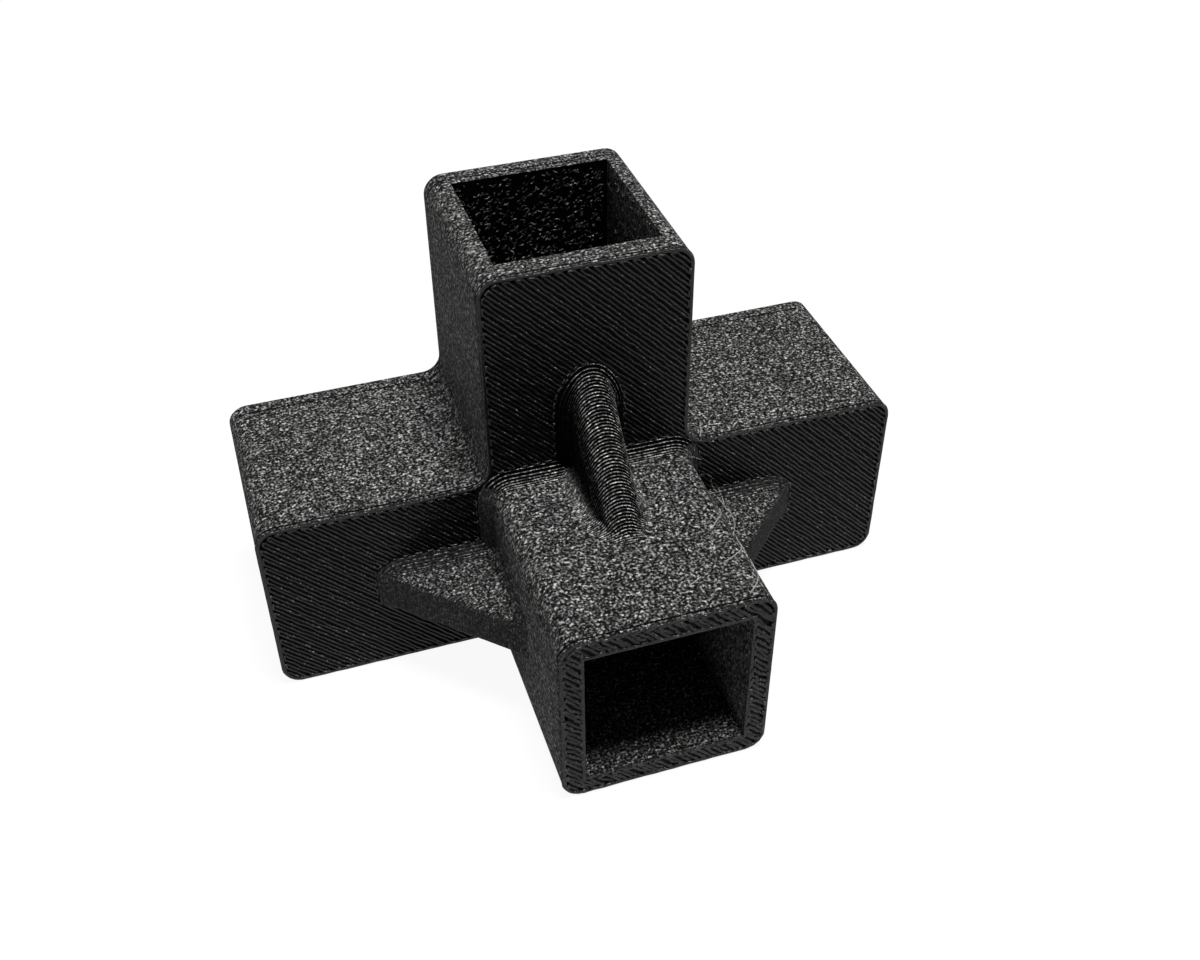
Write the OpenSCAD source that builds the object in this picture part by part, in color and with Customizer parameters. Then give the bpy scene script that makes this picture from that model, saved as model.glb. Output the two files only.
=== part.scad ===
// Square tube four-way connector, printed as one piece.
// Four square sockets leave a solid hub: left (-X), right (+X), front (-Y) and up (+Z).
// Three gussets brace the front arm against the flat front of the other three arms.
// Origin: on the bottom face, straight below the point where the four tube axes cross.

/* [Tube and sockets] */
// Outer width of the square tube that slides into every socket
tube_size = 20; // [12:0.5:40]
// Play between the tube and its socket, across the whole width
fit_clearance = 0.4; // [0.1:0.1:1.2]
// Thickness of the socket walls
socket_wall = 3; // [2:0.1:6]
// How far a tube goes in, from the mouth to the face of the hub
socket_depth = 29.3; // [24:0.1:60]

/* [Edges] */
// Radius of the outer edges that run from front to back
edge_radius = 2.6; // [0.6:0.1:5]
// Radius of the two inner corners between the upright arm and the side arms
crotch_radius = 2.6; // [0.6:0.1:6]
// Radius of the fillet at the foot of the front arm and of the gussets
root_fillet = 2.4; // [0.4:0.1:3]

/* [Gussets] */
// Length of a gusset along each of the two arms that it braces
gusset_leg = 15.2; // [10:0.1:20]
// Thickness of a gusset; the upper one has a fully rounded crest
gusset_thickness = 5.5; // [4.2:0.1:9]
// Radius of the two long edges of the sloping crest on the left and right gussets
crest_radius = 0.7; // [0.6:0.1:2]

/* [Hidden] */
body_colour = [0.10, 0.10, 0.105];
// Segments of a circle
$fn = 64;
// How far a joined shape reaches into the wall that carries it
overlap = 1;
// How far a cut runs past the surface that it opens
past = 1;
// The arcs of one fillet overlap by this angle, and each lies this little inside the one before it
lap_angle = 2;
fillet_step = 0.015;
socket_width = tube_size + fit_clearance;
arm_width = socket_width + 2 * socket_wall;
half_width = arm_width / 2;
// From the crossing of the axes to the end of every arm
reach = half_width + socket_depth;
top_z = half_width + reach;
// A fillet between two faces that meet at 135 degrees starts this far from their edge
tip_tangent = root_fillet * tan(22.5);
tip_height = tip_tangent * cos(45);

// Rectangle from the corner lo to the corner hi with its four corners rounded
module rounded_rectangle(lo, hi, radius) {
    size = hi - lo;
    translate(lo + [radius, 0])
        square([size.x - 2 * radius, size.y]);
    translate(lo + [0, radius])
        square([size.x, size.y - 2 * radius]);
    for (x = [lo.x + radius, hi.x - radius], y = [lo.y + radius, hi.y - radius])
        translate([x, y])
            circle(radius);
}

// Section of a concave fillet in the corner of the two negative axes, with a lip inside each wall
module fillet_section(radius) {
    difference() {
        translate([-overlap, -overlap])
            square(radius + overlap);
        translate([radius, radius])
            circle(radius);
    }
}

// Front outline of the two side arms and the upright arm, seen along +Y
module front_outline() {
    rounded_rectangle([-reach, 0], [reach, arm_width], edge_radius);
    rounded_rectangle([-half_width, half_width], [half_width, top_z], edge_radius);
    for (side = [0, 1])
        mirror([side, 0])
            translate([half_width, arm_width])
                fillet_section(crotch_radius);
}

// Extrudes an outline drawn in X and Z from y = front back to y = rear
module from_front(front, rear) {
    translate([0, rear, 0])
        rotate([90, 0, 0])
            linear_extrude(rear - front)
                children();
}

module side_and_upright_arms() {
    from_front(-half_width, half_width)
        front_outline();
}

module front_arm() {
    from_front(-reach, -half_width + overlap)
        rounded_rectangle([-half_width, 0], [half_width, arm_width], edge_radius);
}

// Flared fillet on the plane z = 0, swept round Z; it meets the plane at the outer radius
module flared_ring(inner, outer, sweep = 360) {
    rotate_extrude(angle = sweep)
        difference() {
            translate([inner, -overlap])
                square([outer - inner, root_fillet + overlap]);
            translate([outer, root_fillet])
                circle(root_fillet);
        }
}

// Straight run of root fillet along X, in the corner of the planes y = 0 and z = 0
module fillet_run(length) {
    rotate([90, 0, 90])
        linear_extrude(length)
            fillet_section(root_fillet);
}

// Fillet round the foot of the front arm, standing on the plane z = 0 with the arm along +Z
module front_arm_fillet() {
    straight = arm_width - 2 * edge_radius;
    inner = half_width - edge_radius;
    for (turn = [0 : 3])
        rotate([0, 0, 90 * turn]) {
            translate([-straight / 2, half_width, 0])
                fillet_run(straight);
            translate([inner, inner, 0])
                flared_ring(0, edge_radius + root_fillet);
        }
}

// The fillet placed on the front face, and kept within that face's outline
module placed_front_arm_fillet() {
    intersection() {
        translate([0, -half_width, half_width])
            rotate([90, 0, 0])
                front_arm_fillet();
        from_front(-reach, half_width)
            front_outline();
    }
}

// From the middle plane of a gusset to the axis of a crest edge of the given radius
function edge_offset(radius) = gusset_thickness / 2 - radius;

// Where the fillet at a gusset's foot starts to turn round its tip
function turn_start(radius) = gusset_leg - radius * sqrt(2) - root_fillet;

// Triangle in the corner of two arms, reaching into both, with X + Y = sum on its long side
module corner_triangle(sum, thickness) {
    linear_extrude(thickness, center = true)
        polygon([[-overlap, -overlap], [sum + overlap, -overlap], [-overlap, sum + overlap]]);
}

// Triangular plate whose crest slopes at 45 degrees between two edges of the given radius
module gusset_blade(radius) {
    span = gusset_leg + 4 * gusset_thickness;
    edge_sum = gusset_leg - radius * sqrt(2);
    flat = gusset_thickness - 2 * radius;
    corner_triangle(edge_sum, gusset_thickness);
    if (flat > 0)
        corner_triangle(gusset_leg, flat);
    intersection() {
        for (side = [-1, 1])
            translate([edge_sum / 2, edge_sum / 2, side * edge_offset(radius)])
                rotate([90, 0, 45])
                    cylinder(r = radius, h = span, center = true);
        translate([-overlap, -overlap, -gusset_thickness])
            cube([span, span, 2 * gusset_thickness]);
    }
}

// Fillet along both sides of a gusset and round its tip, on the plane y = 0
module gusset_root(radius) {
    for (side = [0, 1])
        mirror([0, 0, side])
            translate([-overlap, 0, gusset_thickness / 2])
                fillet_run(turn_start(radius) + overlap);
    difference() {
        tip_fillet(radius);
        above_tip(radius);
    }
}

// Fillet round the end of a gusset, before it is cut down to where it touches the crest.
// A ball that rolls round a crest edge follows half an ellipse, drawn here as arcs of 45 degrees.
module tip_fillet(radius) {
    ball_path = radius + root_fillet;
    arc_shift = ball_path * cos(45);
    flat = 2 * edge_offset(radius);
    sweep = 45 + 2 * lap_angle;
    for (side = [0, 1])
        mirror([0, 0, side])
            translate([turn_start(radius), 0, -edge_offset(radius)])
                rotate([-90, 0, 0]) {
                    translate([0, -arc_shift, 0])
                        rotate([0, 0, 45 - lap_angle])
                            flared_ring(arc_shift, arc_shift + ball_path - fillet_step, sweep);
                    translate([arc_shift, 0, 0])
                        rotate([0, 0, -lap_angle])
                            flared_ring(0, arc_shift - 2 * fillet_step, sweep);
                }
    if (flat > 0)
        translate([gusset_leg + tip_tangent - root_fillet - fillet_step, 0, -flat / 2])
            linear_extrude(flat)
                fillet_section(root_fillet);
}

// Space above the fillet round the tip, down to the slanting line along which it touches the crest
module above_tip(radius) {
    far = gusset_leg + 2 * gusset_thickness;
    near = turn_start(radius);
    linear_extrude(far, center = true)
        polygon([
            [near, root_fillet],
            [gusset_leg - tip_height, tip_height],
            [far, tip_height],
            [far, far],
            [near, far]
        ]);
}

// One gusset between an arm along X and an arm along Y
module gusset(radius) {
    gusset_blade(radius);
    gusset_root(radius);
    mirror([1, -1, 0])
        gusset_root(radius);
}

module placed_gussets() {
    translate([half_width, -half_width, half_width])
        rotate([180, 0, 0])
            gusset(crest_radius);
    translate([-half_width, -half_width, half_width])
        rotate([0, 0, 180])
            gusset(crest_radius);
    translate([0, -half_width, arm_width])
        rotate([0, -90, 0])
            rotate([180, 0, 0])
                gusset(gusset_thickness / 2);
}

// The four square sockets, each cut from its mouth to the face of the hub
module sockets() {
    length = socket_depth + past;
    side = socket_width / 2;
    translate([half_width, -side, half_width - side])
        cube([length, socket_width, socket_width]);
    translate([-half_width - length, -side, half_width - side])
        cube([length, socket_width, socket_width]);
    translate([-side, -half_width - length, half_width - side])
        cube([socket_width, length, socket_width]);
    translate([-side, -side, arm_width])
        cube([socket_width, socket_width, length]);
}

module connector_body() {
    color(body_colour)
        difference() {
            union() {
                side_and_upright_arms();
                front_arm();
                placed_front_arm_fillet();
                placed_gussets();
            }
            sockets();
        }
}

connector_body();
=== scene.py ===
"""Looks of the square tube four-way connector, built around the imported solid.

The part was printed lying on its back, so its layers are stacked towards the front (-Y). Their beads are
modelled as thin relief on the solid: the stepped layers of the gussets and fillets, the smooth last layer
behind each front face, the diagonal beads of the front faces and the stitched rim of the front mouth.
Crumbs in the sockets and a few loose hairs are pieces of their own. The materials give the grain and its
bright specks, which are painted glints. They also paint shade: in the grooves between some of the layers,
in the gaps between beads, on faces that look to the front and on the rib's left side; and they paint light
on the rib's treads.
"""

import math
import random

import bmesh
import bpy
import numpy as np
from mathutils import Euler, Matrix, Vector
from mathutils.bvhtree import BVHTree


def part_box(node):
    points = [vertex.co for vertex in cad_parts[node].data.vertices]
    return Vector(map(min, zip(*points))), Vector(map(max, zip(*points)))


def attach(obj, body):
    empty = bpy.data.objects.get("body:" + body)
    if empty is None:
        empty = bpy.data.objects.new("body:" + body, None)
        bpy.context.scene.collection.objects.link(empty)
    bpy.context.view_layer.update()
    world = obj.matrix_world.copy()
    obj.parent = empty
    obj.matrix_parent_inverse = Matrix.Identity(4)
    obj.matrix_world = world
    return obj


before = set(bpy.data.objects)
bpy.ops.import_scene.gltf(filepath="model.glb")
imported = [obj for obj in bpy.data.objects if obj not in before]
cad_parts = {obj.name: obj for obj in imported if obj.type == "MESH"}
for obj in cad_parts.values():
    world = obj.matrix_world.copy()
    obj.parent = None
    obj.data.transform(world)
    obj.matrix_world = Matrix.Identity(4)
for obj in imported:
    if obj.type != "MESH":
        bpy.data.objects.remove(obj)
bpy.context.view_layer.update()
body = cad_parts["connector_body"]
chance = random.Random(7)

# Sizes of the part, in millimetres; the wall and the edge radius are those of its source
MM = 0.001
lowest, highest = (np.array(corner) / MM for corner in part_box("connector_body"))
REACH = highest[0]
HALF = highest[1]
TOP = highest[2]
ARM = 2 * HALF
WALL = 3.0
EDGE = 2.6
FRONT_FACE = -HALF
MOUTH = lowest[1]
# The floor lies a little below the part, so that the two faces don't fight
FLOOR = -0.15
TOWARDS_FRONT = np.array([0.0, -1.0, 0.0])

# The print: height of a layer, and width of a bead
LAYER = 0.29
BEAD = 0.55

# Paths: shortest stretch that is kept, sharpest turn (cosine), and how far a corner's normal is stretched
SHORTEST = 0.12
SHARPEST_TURN = -0.2
LEAST_MITRE = 0.7

# Beads on the front faces: height, root in the face, longest piece, and how the beads stray
FRONT_RELIEF = 0.2
BEAD_ROOT = 0.15
RASTER_PIECE = 0.9
PITCH_JITTER = 0.1
END_SHIFT = 0.1
RASTER_WOBBLE = 0.04
RASTER_LIFT = (0.5, 1.2)
# Two beads whose ends lie within this many pitches are joined
TURN_REACH = 2.2
TURN_WOBBLE = 0.03
TURN_LIFT = (1.0, 1.7)
BORDER_WIDTH = 0.94 * BEAD
BORDER_PIECE = 1.4
BORDER_WOBBLE = 0.012
BORDER_LIFT = (0.8, 1.15)

# Layers of the gussets, of the fillets and behind the front faces: their edges bulge and stray this far
LAYER_ROOT = 0.9
LAYER_PIECE = 1.5
STEP_BULGE = 0.07
STEP_WOBBLE = 0.008
EDGE_BULGE = 0.06
EDGE_WOBBLE = 0.006
# What stands out less than this from the front arm has no steps
STEP_CLEARANCE = 0.03
# Edges are softened in shading where two faces meet at less than this
SMOOTH_BELOW = math.radians(36)

# Crumbs in the sockets; their slant has a mean and a spread, in radians
CRUMBS_PER_AREA = 2.2
CRUMB_SLANT = (0.6, 0.7)
CRUMB_LENGTH = (0.2, 0.8)
CRUMB_THICKNESS = (0.1, 0.24)
CRUMB_BEND = 0.15
CRUMB_ROOT = 0.05
CRUMB_MARGIN = 0.6
CRUMB_LIFT = (0.4, 1.0, 0.4)

# The photograph is 1200 x 960 pixels; the camera was fitted to its edges
IMAGE_WIDTH, IMAGE_HEIGHT = 1200, 960
SENSOR = 36.0
LENS = 41.373
CAMERA_PLACE = (-0.04087, -0.14261, 0.13720)
CAMERA_ANGLES = (50.068, 0.291, -18.315)

# Loose hairs along the front arm's right edge, traced: places in the photograph, right and down
HAIR_TRACES = [
    [(700, 422), (701, 430), (700, 437)],
    [(690, 457), (694, 457), (700, 459), (704, 459)],
    [(698, 478), (701, 474), (707, 474), (711, 476), (711, 483), (714, 489), (718, 493)],
    [(700, 478), (701, 483), (706, 488), (712, 493), (717, 497)],
    [(718, 488), (720, 493), (722, 497), (724, 505)],
    [(717, 497), (722, 503), (726, 509), (730, 512), (733, 518), (735, 525), (734, 530)],
    [(726, 509), (720, 516), (717, 520), (712, 529)],
    [(741, 533), (743, 537), (746, 546), (749, 553), (753, 560), (756, 568), (758, 576), (757, 583),
     (754, 588), (750, 594)],
    [(745, 543), (740, 551), (733, 557), (725, 562)],
    [(701, 577), (695, 582), (689, 586)],
]
# Longest stretch of a trace, and how far to its left the arm is looked for, in the photograph's pixels
TRACE_PIECE = 4.0
EDGE_SEARCH = 16
# A hair's radius and sides, its height over the face, and the farthest that two of its points lie apart
HAIR_RADIUS = 0.08
HAIR_SIDES = 6
HAIR_RISE = 0.6 * HAIR_RADIUS
HAIR_STEP = 1.6

# Materials. A face looks to the front, the back or the left once its normal passes these shares
SHADE = (0.052, 0.052, 0.051, 1)
# The rib's layers are painted brighter: painted light on their treads, which face the lamp above
RIB_PAINTED_LIGHT = (0.15, 0.15, 0.146, 1)
FRONT_TURN = (0.45, 0.85)
LEFT_TURN = (0.55, 0.9)
# Grain: its noise and its cells per metre, the range from dark to bright, and the gain of its bright
# specks, painted glints
NOISE_SCALE = 3000.0
CELL_SCALE = 3100.0
GRAIN_RANGE = 260.0
SPECK_GLINT_GAIN = 3.0
# What is left of the grain on front and back faces, and on faces to the left
FLAT_GRAIN = 0.25
LEFT_GRAIN = 0.7
# Roughness of the sides and of the fronts, and how much smoother a speck is
SIDE_ROUGHNESS, FRONT_ROUGHNESS = 0.8, 0.2
SPECK_POLISH = 0.15
# Bump: height, and strength without and with the full grain
BUMP_HEIGHT = 0.18
BUMP_STRENGTH = (0.2, 0.9)
# Painted shade in the grooves near the back and behind the front faces: places in y, half widths, share of
# the shade
GROOVES = (11.35, FRONT_FACE + 1.5 * LAYER, MOUTH + 1.5 * LAYER)
GROOVE_CORE, GROOVE_RIM = 0.09, 0.16
GROOVE_PAINTED_SHADE = 0.04
# Shares of a bead's height at which its gap ends and its crest begins
GAP_TO_CREST = (0.3, 0.95)
HAIR_DARK = (0.16, 0.16, 0.15, 1)
HAIR_PALE = (0.6, 0.6, 0.58, 1)

# Stage, in metres. The floor glows white where it is seen, and the world lights the part only a little
FLOOR_REACH = 6.0
FLOOR_SHADE = (0.75, 0.75, 0.75, 1)
FLOOR_GLOW = 1.1
FLOOR_GLOW_SHARE = 0.85
WORLD_FILL = 0.02
WHITE = (1, 1, 1, 1)
LAMP_AIM = Vector((0.0, -0.01, 0.025))


def body_triangles():
    """The solid's triangles, in millimetres."""
    mesh = body.data
    mesh.calc_loop_triangles()
    places = np.empty(len(mesh.vertices) * 3)
    mesh.vertices.foreach_get("co", places)
    corners = np.empty(len(mesh.loop_triangles) * 3, dtype=int)
    mesh.loop_triangles.foreach_get("vertices", corners)
    return places.reshape(-1, 3)[corners.reshape(-1, 3)] / MM


def section(triangles, y):
    """The closed loops of (x, z) points in which the plane at y cuts the solid."""
    away = triangles[:, :, 1] - y
    # A corner in the plane counts as just behind it
    away[away == 0] = 1e-7
    crossing = (away > 0).any(axis=1) & (away < 0).any(axis=1)
    links = {}
    for corners, depth in zip(triangles[crossing], away[crossing]):
        ends = []
        for i in range(3):
            j = (i + 1) % 3
            if depth[i] * depth[j] < 0:
                place = corners[i] + depth[i] / (depth[i] - depth[j]) * (corners[j] - corners[i])
                # Rounded to a micrometre, so that neighbours share their ends
                ends.append((round(place[0], 3), round(place[2], 3)))
        if ends[0] != ends[1]:
            links.setdefault(ends[0], []).append(ends[1])
            links.setdefault(ends[1], []).append(ends[0])
    loops = []
    while links:
        start = next(iter(links))
        loop = [start]
        while True:
            here = loop[-1]
            nexts = links.get(here)
            if not nexts:
                links.pop(here, None)
                break
            step = nexts.pop()
            links[step].remove(here)
            if step == start:
                break
            loop.append(step)
        for place in loop:
            if not links.get(place):
                links.pop(place, None)
        if len(loop) > 2:
            loops.append(counter_clockwise(np.array(loop)))
    return loops


def counter_clockwise(loop):
    x, z = loop[:, 0], loop[:, 1]
    area = (x * np.roll(z, -1) - np.roll(x, -1) * z).sum()
    return loop if area > 0 else loop[::-1]


def extent(loop):
    return np.ptp(loop[:, 0]) * np.ptp(loop[:, 1])


def outline_at(triangles, y):
    """The largest loop in which the plane at y cuts the solid."""
    return max(section(triangles, y), key=extent)


def unit(vectors):
    return vectors / (np.linalg.norm(vectors, axis=1)[:, None] + 1e-12)


def outward_normals(points, closed=True):
    """Unit normals to the right of a path, at its points, stretched at corners to keep the bead's width."""
    ahead = np.roll(points, -1, axis=0) - points
    behind = points - np.roll(points, 1, axis=0)
    if not closed:
        ahead[-1] = behind[-1]
        behind[0] = ahead[0]
    ahead = unit(ahead)
    mean = unit(ahead + unit(behind))
    stretch = 1 / np.clip((mean * ahead).sum(axis=1), LEAST_MITRE, 1)
    return np.stack([mean[:, 1], -mean[:, 0]], axis=1) * stretch[:, None]


def thin_out(loop):
    """Drops the points of a closed loop that lie too close to the one before, or at which it turns back."""
    kept = [loop[0]]
    for point in loop[1:]:
        if np.linalg.norm(point - kept[-1]) > SHORTEST:
            kept.append(point)
    if np.linalg.norm(kept[-1] - kept[0]) < SHORTEST:
        kept.pop()
    loop = np.array(kept)
    ahead = np.roll(loop, -1, axis=0) - loop
    behind = loop - np.roll(loop, 1, axis=0)
    lengths = np.linalg.norm(ahead, axis=1), np.linalg.norm(behind, axis=1)
    cosine = (ahead * behind).sum(axis=1) / lengths[0] / lengths[1]
    return loop[cosine > SHARPEST_TURN]


def divided(points, longest, closed):
    """The path with every stretch cut into pieces no longer than this."""
    result = []
    count = len(points)
    for i in range(count if closed else count - 1):
        a, b = points[i], points[(i + 1) % count]
        pieces = max(1, math.ceil(np.linalg.norm(b - a) / longest))
        result.extend(a + (b - a) * k / pieces for k in range(pieces))
    if not closed:
        result.append(points[-1])
    return np.array(result)


def beyond_arm(points):
    """How far points lie outside the front arm's rounded outline."""
    inner = HALF - EDGE
    away = np.abs(points - np.array([0.0, HALF])) - inner
    return np.linalg.norm(np.maximum(away, 0), axis=1) + np.minimum(away.max(axis=1), 0) - EDGE


class Relief:
    """Collects swept beads and makes one piece of them."""

    def __init__(self):
        self.places = []
        self.faces = []

    def sweep(self, points, sideways, upward, profile, closed, lift=None):
        """Sweeps a closed profile of (side, up) pairs along 3-D points."""
        first = len(self.places)
        size, count = len(profile), len(points)
        for i in range(count):
            rise = 1.0 if lift is None else lift[i]
            for side, up in profile:
                height = up * rise if up > 0 else up
                self.places.append(points[i] + sideways[i] * side + upward[i] * height)
        for i in range(count if closed else count - 1):
            here, there = first + i * size, first + (i + 1) % count * size
            for k in range(size):
                m = (k + 1) % size
                self.faces.append((here + k, there + k, there + m, here + m))
        if not closed:
            last = first + (count - 1) * size
            self.faces.append(tuple(first + k for k in range(size)))
            self.faces.append(tuple(last + k for k in reversed(range(size))))

    def on_front(self, path, y, profile, closed, wobble, lift=None):
        """Lays a bead along an (x, z) path on a face that looks towards the front."""
        normals = outward_normals(path, closed)
        path = path + normals * np.array([[chance.gauss(0, wobble)] for _ in path])
        self.sweep(
            np.insert(path, 1, y, axis=1),
            np.insert(normals, 1, 0.0, axis=1),
            [TOWARDS_FRONT] * len(path),
            profile, closed, lift)

    def piece(self, name, material):
        mesh = bpy.data.meshes.new(name)
        mesh.from_pydata([tuple(place * MM) for place in self.places], [], self.faces)
        shell = bmesh.new()
        shell.from_mesh(mesh)
        bmesh.ops.recalc_face_normals(shell, faces=shell.faces)
        shell.to_mesh(mesh)
        shell.free()
        mesh.polygons.foreach_set("use_smooth", [True] * len(mesh.polygons))
        mesh.set_sharp_from_angle(angle=SMOOTH_BELOW)
        mesh.materials.append(material)
        made = bpy.data.objects.new(name, mesh)
        bpy.context.scene.collection.objects.link(made)
        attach(made, "root")


def bead_profile(width):
    """Section of a flattened bead that lies on a front face and reaches a little into it."""
    half, shoulder, shoulder_height = width / 2, 0.34 * width, 0.88 * FRONT_RELIEF
    return [
        (-half, -BEAD_ROOT), (half, -BEAD_ROOT), (half, 0.0), (shoulder, shoulder_height),
        (0.0, FRONT_RELIEF), (-shoulder, shoulder_height), (-half, 0.0)]


def layer_profile(bulge):
    """Section of one layer's rounded edge, which stands out this far and reaches well into the solid."""
    shoulder, neck = bulge - 0.04, bulge - 0.16
    return [
        (-LAYER_ROOT, 0.0), (neck, 0.0), (shoulder, 0.2 * LAYER), (bulge, 0.5 * LAYER),
        (shoulder, 0.8 * LAYER), (neck, LAYER), (-LAYER_ROOT, LAYER)]


def stretches_inside(loops, margins, start, direction):
    """Where a straight line runs inside the loops and clear of each, as pairs of distances along it."""
    normal = np.array([-direction[1], direction[0]])
    hits = []
    for loop, margin in zip(loops, margins):
        side = (loop - start) @ normal
        along = (loop - start) @ direction
        after = np.roll(side, -1)
        for i in np.nonzero((side > 0) != (after > 0))[0]:
            j = (i + 1) % len(loop)
            hits.append((along[i] + (along[j] - along[i]) * side[i] / (side[i] - side[j]), margin))
    hits.sort()
    return [(a + a_margin, b - b_margin) for (a, a_margin), (b, b_margin) in zip(hits[0::2], hits[1::2])]


def lay_raster(relief, loops, margins, y, pitch, width, unrest=1.0):
    """Diagonal beads over a front face, clear of its borders and joined to a zigzag at their ends."""
    along = np.array([1.0, -1.0]) / math.sqrt(2)
    across = np.array([1.0, 1.0]) / math.sqrt(2)
    margins = np.array(margins) * math.sqrt(2)
    profile = bead_profile(width)
    corners = np.concatenate([loop @ across for loop in loops])
    first, last = corners.min() + 1.5 * BEAD, corners.max() - 1.2 * BEAD
    before = []
    for count, offset in enumerate(np.arange(first, last, pitch)):
        offset += chance.uniform(-PITCH_JITTER, PITCH_JITTER) * unrest * pitch
        beads = []
        for start, end in stretches_inside(loops, margins, across * offset, along):
            if end - start < pitch:
                continue
            bead = across * offset + np.outer([start, end], along)
            shift = [chance.gauss(0, END_SHIFT), chance.gauss(0, END_SHIFT)]
            bead += np.outer(shift, across) * (unrest - 1)
            beads.append(bead)
            path = divided(bead, RASTER_PIECE, closed=False)
            lift = [chance.uniform(RASTER_LIFT[0] / unrest, RASTER_LIFT[1]) for _ in path]
            relief.on_front(path, y, profile, False, RASTER_WOBBLE * unrest, lift)
            for other in before:
                turn = np.array([other[count % 2], bead[count % 2]])
                if np.linalg.norm(turn[1] - turn[0]) < TURN_REACH * pitch:
                    lift = [chance.uniform(*TURN_LIFT) for _ in turn]
                    relief.on_front(turn, y, profile, False, TURN_WOBBLE, lift)
        before = beads


def lay_border(relief, loop, y, inset):
    """A bead along a closed outline, this far inside it."""
    path = divided(thin_out(loop), BORDER_PIECE, closed=True)
    path = path - outward_normals(path) * inset
    lift = [chance.uniform(*BORDER_LIFT) for _ in path]
    relief.on_front(path, y, bead_profile(BORDER_WIDTH), True, BORDER_WOBBLE, lift)


def stepped_outlines(triangles):
    """The outline of each layer in front of the flat front faces, with its back, up to where the steps end.

    Each is cut near the layer's back, but the first one in its middle, clear of the fillet's thin rim.
    """
    outlines = []
    back = FRONT_FACE
    while True:
        share = 0.15 if outlines else 0.5
        loop = thin_out(outline_at(triangles, back - share * LAYER))
        if not (beyond_arm(loop) > STEP_CLEARANCE).any():
            return outlines
        outlines.append((back, loop))
        back -= LAYER


def make_step_layers(name, outlines, above, material):
    """The stepped layers of the gussets and of the front arm's foot, either above that arm or beside it."""
    relief = Relief()
    profile = layer_profile(STEP_BULGE)
    for back, loop in outlines:
        wanted = (beyond_arm(loop) > STEP_CLEARANCE) & ((loop[:, 1] > ARM) == above)
        first = int(np.argmin(wanted))
        loop, wanted = np.roll(loop, -first, axis=0), np.roll(wanted, -first)
        run = []
        for point, inside in zip(np.vstack([loop, loop[:1]]), np.append(wanted, False)):
            if inside or run:
                run.append(point)
            if not inside:
                if len(run) > 3:
                    path = divided(np.array(run), LAYER_PIECE, closed=False)
                    relief.on_front(path, back, profile, False, STEP_WOBBLE)
                run = []
    relief.piece(name, material)


def make_edge_layers(triangles, material):
    """The last layer below each front face, which stays smooth beside the grain of the faces round it."""
    relief = Relief()
    for face in (FRONT_FACE, MOUTH):
        back = face + LAYER
        path = divided(thin_out(outline_at(triangles, back)), LAYER_PIECE, closed=True)
        relief.on_front(path, back, layer_profile(EDGE_BULGE), True, EDGE_WOBBLE)
    relief.piece("edge_layers", material)


def make_front_beads(triangles, material):
    """Beads of the last layer on the front of the left, right and upright arms."""
    outline = outline_at(triangles, FRONT_FACE + 0.2)
    foot = outline_at(triangles, FRONT_FACE - 0.12)
    relief = Relief()
    lay_raster(relief, [outline, foot], [1.1 * BEAD, 0.3 * BEAD], FRONT_FACE, BEAD, 0.5 * BEAD)
    lay_border(relief, outline, FRONT_FACE, 0.5 * BEAD)
    relief.piece("front_beads", material)


def make_mouth_beads(triangles, material):
    """Outer and inner bead on the rim of the front mouth, and the stitches between them."""
    loops = sorted(section(triangles, MOUTH + 0.2), key=extent)
    hollow, outline = loops[0], loops[-1]
    margins = [0.9 * BEAD, 0.9 * BEAD]
    relief = Relief()
    lay_border(relief, outline, MOUTH, 0.5 * BEAD)
    lay_border(relief, hollow, MOUTH, -0.5 * BEAD)
    lay_raster(relief, [outline, hollow], margins, MOUTH, 1.1 * BEAD, 0.9 * BEAD, unrest=1.8)
    relief.piece("mouth_beads", material)


def make_socket_crumbs(material):
    """Short crumbs of plastic on walls of the side and top sockets, where the print came out rough."""
    inner = HALF - WALL
    low, high = HALF - inner, HALF + inner
    # Each wall has a corner and two edges: first the back wall of each socket, then the top socket's sides
    walls = []
    for left, right, bottom, top in (
            (-inner, inner, ARM, TOP), (-REACH, -HALF, low, high), (HALF, REACH, low, high)):
        walls.append(((left, inner, bottom), (right - left, 0, 0), (0, 0, top - bottom)))
    for side in (-inner, inner):
        walls.append(((side, -inner, ARM), (0, 2 * inner, 0), (0, 0, TOP - ARM)))
    relief = Relief()
    for corner, across, upwards in np.array(walls, dtype=float):
        width, height = np.linalg.norm(across), np.linalg.norm(upwards)
        across, upwards = across / width, upwards / height
        away = np.cross(across, upwards)
        away *= -np.sign(away @ (corner + across * width / 2) + 1e-9)
        for _ in range(int(CRUMBS_PER_AREA * width * height)):
            slant = chance.gauss(*CRUMB_SLANT)
            along = across * math.cos(slant) + upwards * math.sin(slant)
            half_length = along * chance.uniform(*CRUMB_LENGTH) / 2
            side = np.cross(along, away)
            middle = corner + across * chance.uniform(CRUMB_MARGIN, width - CRUMB_MARGIN)
            middle = middle + upwards * chance.uniform(CRUMB_MARGIN, height - CRUMB_MARGIN)
            bend = side * chance.gauss(0, CRUMB_BEND)
            points = np.array([middle - half_length, middle + bend, middle + half_length])
            thick = chance.uniform(*CRUMB_THICKNESS)
            foot, crest, rise = 0.5 * thick, 0.3 * thick, 0.7 * thick
            profile = [(-foot, -CRUMB_ROOT), (foot, -CRUMB_ROOT), (crest, rise), (-crest, rise)]
            relief.sweep(points, [side] * 3, [away] * 3, profile, False, CRUMB_LIFT)
    relief.piece("socket_crumbs", material)


def ray_through(pixel):
    """Start and direction of the camera's ray through a place in the photograph."""
    focal = LENS / SENSOR * IMAGE_WIDTH
    ray = Vector(((pixel[0] - IMAGE_WIDTH / 2) / focal, (IMAGE_HEIGHT / 2 - pixel[1]) / focal, -1.0))
    ray.rotate(Euler([math.radians(angle) for angle in CAMERA_ANGLES]))
    return Vector(CAMERA_PLACE), ray.normalized()


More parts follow.
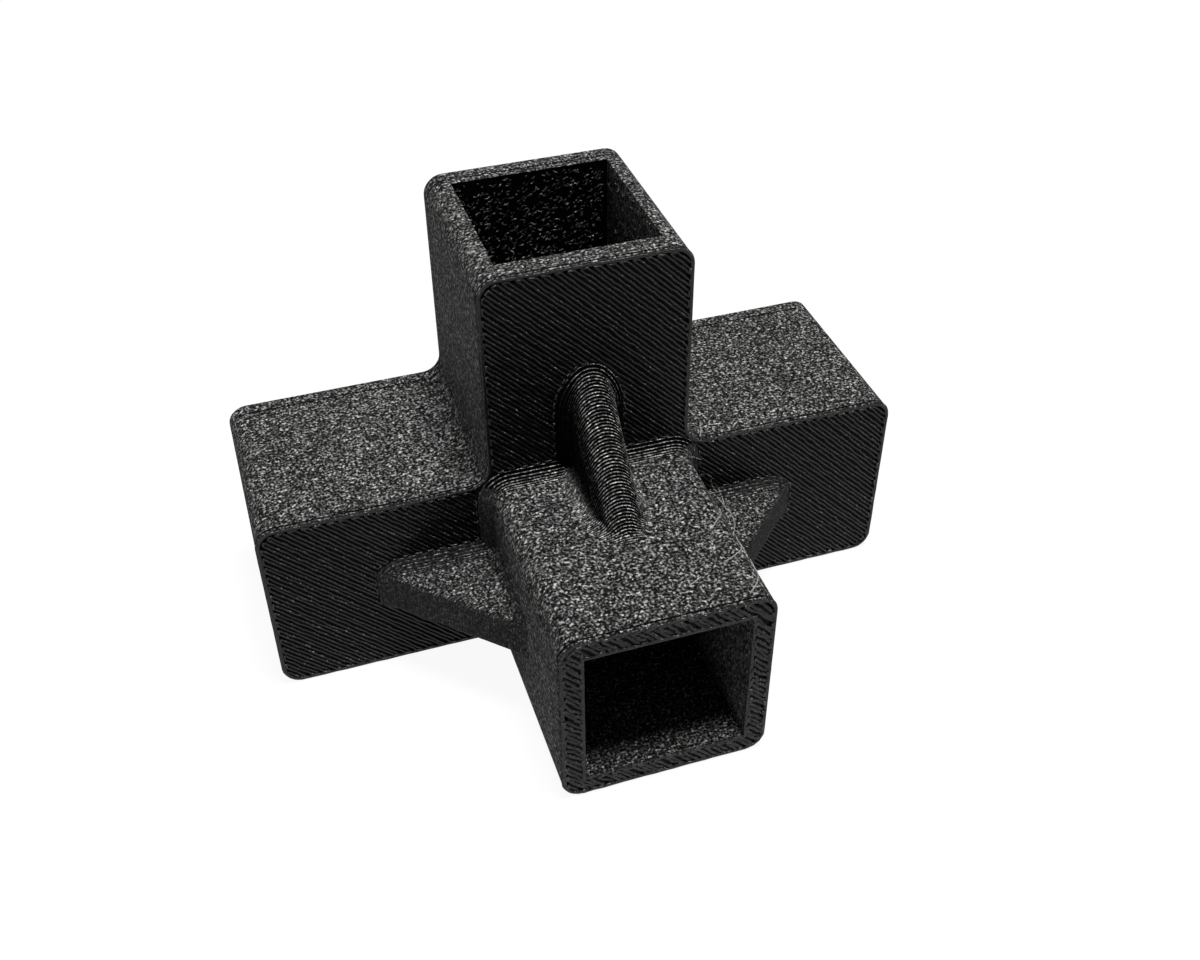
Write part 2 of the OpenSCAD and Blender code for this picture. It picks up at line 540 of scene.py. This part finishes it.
def on_same_face(tree, pixel, before):
    """Where the ray through a pixel meets the face of the point before, and the normal there.

    Where it doesn't, the nearest pixel to the left that does takes its place.
    """
    for aside in range(EDGE_SEARCH):
        place, normal, _, _ = tree.ray_cast(*ray_through((pixel[0] - aside, pixel[1])))
        if place is None:
            continue
        place = np.array(place) / MM
        if before is None or np.linalg.norm(place - before) < HAIR_STEP:
            return place, np.array(normal)
    return None


def make_hairs(material):
    """Loose hairs of plastic that lie on the front arm along its right edge."""
    tree = BVHTree.FromPolygons(
        [vertex.co for vertex in body.data.vertices], [face.vertices for face in body.data.polygons])
    relief = Relief()
    turns = np.linspace(0, 2 * math.pi, HAIR_SIDES, endpoint=False)
    ring = [(HAIR_RADIUS * math.cos(turn), HAIR_RADIUS * math.sin(turn)) for turn in turns]
    for trace in HAIR_TRACES:
        points, ups = [], []
        before = None
        for pixel in divided(np.array(trace, dtype=float), TRACE_PIECE, closed=False)[::-1]:
            met = on_same_face(tree, pixel, before)
            if met is not None:
                before, normal = met
                points.append(before + normal * HAIR_RISE)
                ups.append(normal)
        points = np.array(points)
        sideways = [np.cross(along, up) for along, up in zip(np.gradient(points, axis=0), ups)]
        sideways = [side / (np.linalg.norm(side) + 1e-9) for side in sideways]
        relief.sweep(points, sideways, ups, ring, closed=False)
    relief.piece("loose_hairs", material)


class Nodes:
    """Short calls that add and link the shader nodes of a material or a world."""

    def __init__(self, owner):
        owner.use_nodes = True
        self.tree = owner.node_tree

    def add(self, kind, inputs=(), **settings):
        node = self.tree.nodes.new("ShaderNode" + kind)
        for name, value in settings.items():
            setattr(node, name, value)
        for socket, value in dict(inputs).items():
            self.put(value, node.inputs[socket])
        return node

    def put(self, value, socket):
        if isinstance(value, bpy.types.NodeSocket):
            self.tree.links.new(value, socket)
        else:
            socket.default_value = value

    def math(self, operation, a, b=0.0):
        return self.add("Math", {0: a, 1: b}, operation=operation).outputs[0]

    def product(self, a, b):
        return self.math("MULTIPLY", a, b)

    def fit(self, value, low, high, to_low=0.0, to_high=1.0):
        """Maps a value from one range to another, smoothly and clamped."""
        node = self.add("MapRange", {
            "Value": value, "From Min": low, "From Max": high, "To Min": to_low, "To Max": to_high},
            interpolation_type="SMOOTHSTEP")
        return node.outputs["Result"]

    def blend(self, share, low, high):
        """Goes smoothly from low to high as the share goes from 0 to 1."""
        return self.fit(share, 0.0, 1.0, low, high)


def new_material(name):
    """A material, its nodes and the inputs of its shader."""
    material = bpy.data.materials.new(name)
    n = Nodes(material)
    return material, n, n.tree.nodes["Principled BSDF"].inputs


def grain_of(n, place, rough_side):
    """The grain's brightness, the noise under it and a mask of its bright specks, which are painted glints.
    """
    noise = n.add("TexNoise", {"Vector": place, "Scale": NOISE_SCALE, "Detail": 1.0, "Roughness": 0.5})
    noise = noise.outputs[0]
    cells = n.add("TexVoronoi", {"Vector": place, "Scale": CELL_SCALE})
    lottery = n.add("SeparateXYZ", {0: cells.outputs["Color"]}).outputs["X"]
    glint_speck = n.product(n.fit(lottery, 0.88, 0.98), n.fit(cells.outputs["Distance"], 0.5, 0.2))
    grain = n.math("ADD", n.product(n.fit(noise, 0.32, 0.68), 0.6), n.product(lottery, 0.4))
    swing = n.product(n.math("SUBTRACT", grain, 0.5), rough_side)
    level = n.math("POWER", GRAIN_RANGE, swing)
    # Painted glints: the specks are brightened
    level = n.math("ADD", level, n.product(n.product(glint_speck, rough_side), SPECK_GLINT_GAIN))
    return level, noise, glint_speck


def with_painted_groove_shade(n, spot, level):
    """The brightness, with painted shade in the grooves that run round the outside of the part."""
    beside = n.math("ABSOLUTE", spot["X"])
    above = n.math("ABSOLUTE", n.math("SUBTRACT", spot["Z"], HALF * MM))
    in_socket = n.math("LESS_THAN", n.math("MAXIMUM", beside, above), (HALF - 0.8 * WALL) * MM)
    for groove in GROOVES:
        away = n.math("ABSOLUTE", n.math("SUBTRACT", spot["Y"], groove * MM))
        away = n.math("ADD", away, in_socket)
        level = n.product(level, n.fit(away, GROOVE_CORE * MM, GROOVE_RIM * MM, GROOVE_PAINTED_SHADE, 1.0))
    return level


def print_material(name, shade, grain_share=1.0, painted_front_share=1.0, painted_left_share=1.0, gloss=0.02,
                   painted_gaps_at=None, painted_gap_share=0.03):
    """Matt black print: coarse grain with bright specks on the sides, smoother to the front. The specks are
    painted glints.

    Faces that look to the front or to the left take their share of the shade: painted shade, where the
    lamps
    light them less. Beads on the face at y = painted_gaps_at turn to their gap share of it towards the
    gaps:
    painted shade between the beads. Dark grooves run round the part behind its front faces and near its
    back:
    painted shade in the grooves.
    """
    material, n, shader = new_material(name)
    place = n.add("TexCoord").outputs["Object"]
    spot = n.add("SeparateXYZ", {0: place}).outputs
    normal = n.add("SeparateXYZ", {0: n.add("NewGeometry").outputs["Normal"]}).outputs
    front = n.fit(n.product(normal["Y"], -1.0), *FRONT_TURN)
    back = n.fit(normal["Y"], *FRONT_TURN)
    left = n.fit(n.product(normal["X"], -1.0), *LEFT_TURN)
    rough_side = n.blend(n.math("MAXIMUM", front, back), grain_share, FLAT_GRAIN * grain_share)
    rough_side = n.product(rough_side, n.blend(left, 1.0, LEFT_GRAIN))

    level, noise, glint_speck = grain_of(n, place, rough_side)
    # Painted shade on faces that look to the front or to the left
    level = n.product(level, n.blend(front, 1.0, painted_front_share))
    level = n.product(level, n.blend(left, 1.0, painted_left_share))
    level = with_painted_groove_shade(n, spot, level)
    # Painted shade in the gaps between the beads of one face
    if painted_gaps_at is not None:
        gap_end, crest_start = (painted_gaps_at - share * FRONT_RELIEF for share in GAP_TO_CREST)
        on_crest = n.fit(spot["Y"], gap_end * MM, crest_start * MM)
        level = n.product(level, n.blend(on_crest, painted_gap_share, 1.0))
    colour = n.add("Mix", {"Factor": 1.0, "A": shade, "B": level}, data_type="RGBA", blend_type="MULTIPLY")
    n.put(colour.outputs["Result"], shader["Base Color"])

    rough = n.blend(front, SIDE_ROUGHNESS, FRONT_ROUGHNESS)
    n.put(n.math("SUBTRACT", rough, n.product(glint_speck, SPECK_POLISH)), shader["Roughness"])
    n.put(gloss, shader["Specular IOR Level"])
    bump = n.add("Bump", {
        "Strength": n.blend(rough_side, *BUMP_STRENGTH), "Distance": BUMP_HEIGHT * MM, "Height": noise})
    n.put(bump.outputs["Normal"], shader["Normal"])
    return material


def hair_material():
    """Thin pale hairs of the same plastic."""
    material, n, shader = new_material("hair_plastic")
    place = n.add("TexCoord").outputs["Object"]
    patches = n.add("TexNoise", {"Vector": place, "Scale": 700.0})
    ramp = n.add("ValToRGB", {"Fac": patches.outputs[0]})
    ramp.color_ramp.elements[0].color = HAIR_DARK
    ramp.color_ramp.elements[1].color = HAIR_PALE
    n.put(ramp.outputs[0], shader["Base Color"])
    n.put(0.45, shader["Roughness"])
    return material


def area_light(name, towards, distance, size, watts):
    """A soft lamp that shines on the part from this direction."""
    lamp = bpy.data.lights.new(name, "AREA")
    lamp.shape = "DISK"
    lamp.size = size
    lamp.energy = watts
    holder = bpy.data.objects.new(name, lamp)
    way = Vector(towards).normalized()
    holder.location = LAMP_AIM + way * distance
    holder.rotation_euler = way.to_track_quat("Z", "Y").to_euler()
    bpy.context.scene.collection.objects.link(holder)


def seen_directly(n):
    """1 for rays that show the background to the camera, in a gloss or through glass, else 0."""
    path = n.add("LightPath").outputs
    seen = n.math("MAXIMUM", path["Is Camera Ray"], path["Is Glossy Ray"])
    return n.math("MAXIMUM", seen, path["Is Transmission Ray"])


def make_floor():
    """White floor that keeps a little of the part's shadow."""
    mesh = bpy.data.meshes.new("floor")
    far = FLOOR_REACH
    corners = [(-far, -far), (far, -far), (far, far), (-far, far)]
    mesh.from_pydata([(x, y, FLOOR * MM) for x, y in corners], [], [(0, 1, 2, 3)])
    floor = bpy.data.objects.new("floor", mesh)
    bpy.context.scene.collection.objects.link(floor)
    material, n, shader = new_material("floor_white")
    n.put(FLOOR_SHADE, shader["Base Color"])
    n.put(1.0, shader["Roughness"])
    glow = n.add("Emission", {"Color": WHITE, "Strength": FLOOR_GLOW})
    mix = n.add("MixShader", {
        "Fac": n.product(seen_directly(n), FLOOR_GLOW_SHARE),
        1: n.tree.nodes["Principled BSDF"].outputs[0],
        2: glow.outputs[0]})
    n.put(mix.outputs[0], n.tree.nodes["Material Output"].inputs["Surface"])
    mesh.materials.append(material)


def make_world():
    """White surroundings where they are seen, which light the part only a little."""
    world = bpy.data.worlds.new("studio")
    bpy.context.scene.world = world
    n = Nodes(world)
    background = n.tree.nodes["Background"].inputs
    n.put(WHITE, background["Color"])
    strength = n.add("MapRange", {"Value": seen_directly(n), "To Min": WORLD_FILL, "To Max": 1.0})
    n.put(strength.outputs["Result"], background["Strength"])


def make_camera():
    lens = bpy.data.cameras.new("camera")
    lens.lens = LENS
    lens.sensor_width = SENSOR
    lens.clip_start = 0.01
    camera = bpy.data.objects.new("camera", lens)
    camera.location = CAMERA_PLACE
    camera.rotation_euler = [math.radians(angle) for angle in CAMERA_ANGLES]
    bpy.context.scene.collection.objects.link(camera)
    bpy.context.scene.camera = camera


make_camera()
make_floor()
make_world()
area_light("key", (0.07, -0.10, 1.0), 0.6, 0.2, 3.3)
area_light("left_fill", (-1.0, 0.3, 0.3), 0.6, 0.3, 0.4)
bpy.context.scene.view_settings.view_transform = "Standard"

# Painted shade: faces that look to the front are darker in these materials, nearly black on the body
# between the beads and on the front beads, less so on the mouth's rim and the gussets
black = print_material("black_print_grain", SHADE, painted_front_share=0.08)
# Painted light on the rib's treads, and painted shade on its risers and on its left side
black_rib_painted_light_shade = print_material(
    "black_print_rib_painted_light_shade", RIB_PAINTED_LIGHT, grain_share=0.75, painted_front_share=0.02, painted_left_share=0.05, gloss=0.0)
black_gusset = print_material("black_print_gusset", SHADE, painted_front_share=0.9)
black_front = print_material("black_print_front", SHADE, painted_front_share=0.07, gloss=0.27, painted_gaps_at=FRONT_FACE)
black_mouth = print_material(
    "black_print_mouth", SHADE, painted_front_share=0.38, gloss=0.17, painted_gaps_at=MOUTH, painted_gap_share=0.2)
black_crumbs = print_material("black_print_crumbs", SHADE, gloss=0.0)
body.data.materials.clear()
body.data.materials.append(black)
solid = body_triangles()
steps = stepped_outlines(solid)
make_step_layers("rib_layers", steps, True, black_rib_painted_light_shade)
make_step_layers("gusset_layers", steps, False, black_gusset)
make_edge_layers(solid, black_gusset)
make_front_beads(solid, black_front)
make_mouth_beads(solid, black_mouth)
make_socket_crumbs(black_crumbs)
make_hairs(hair_material())
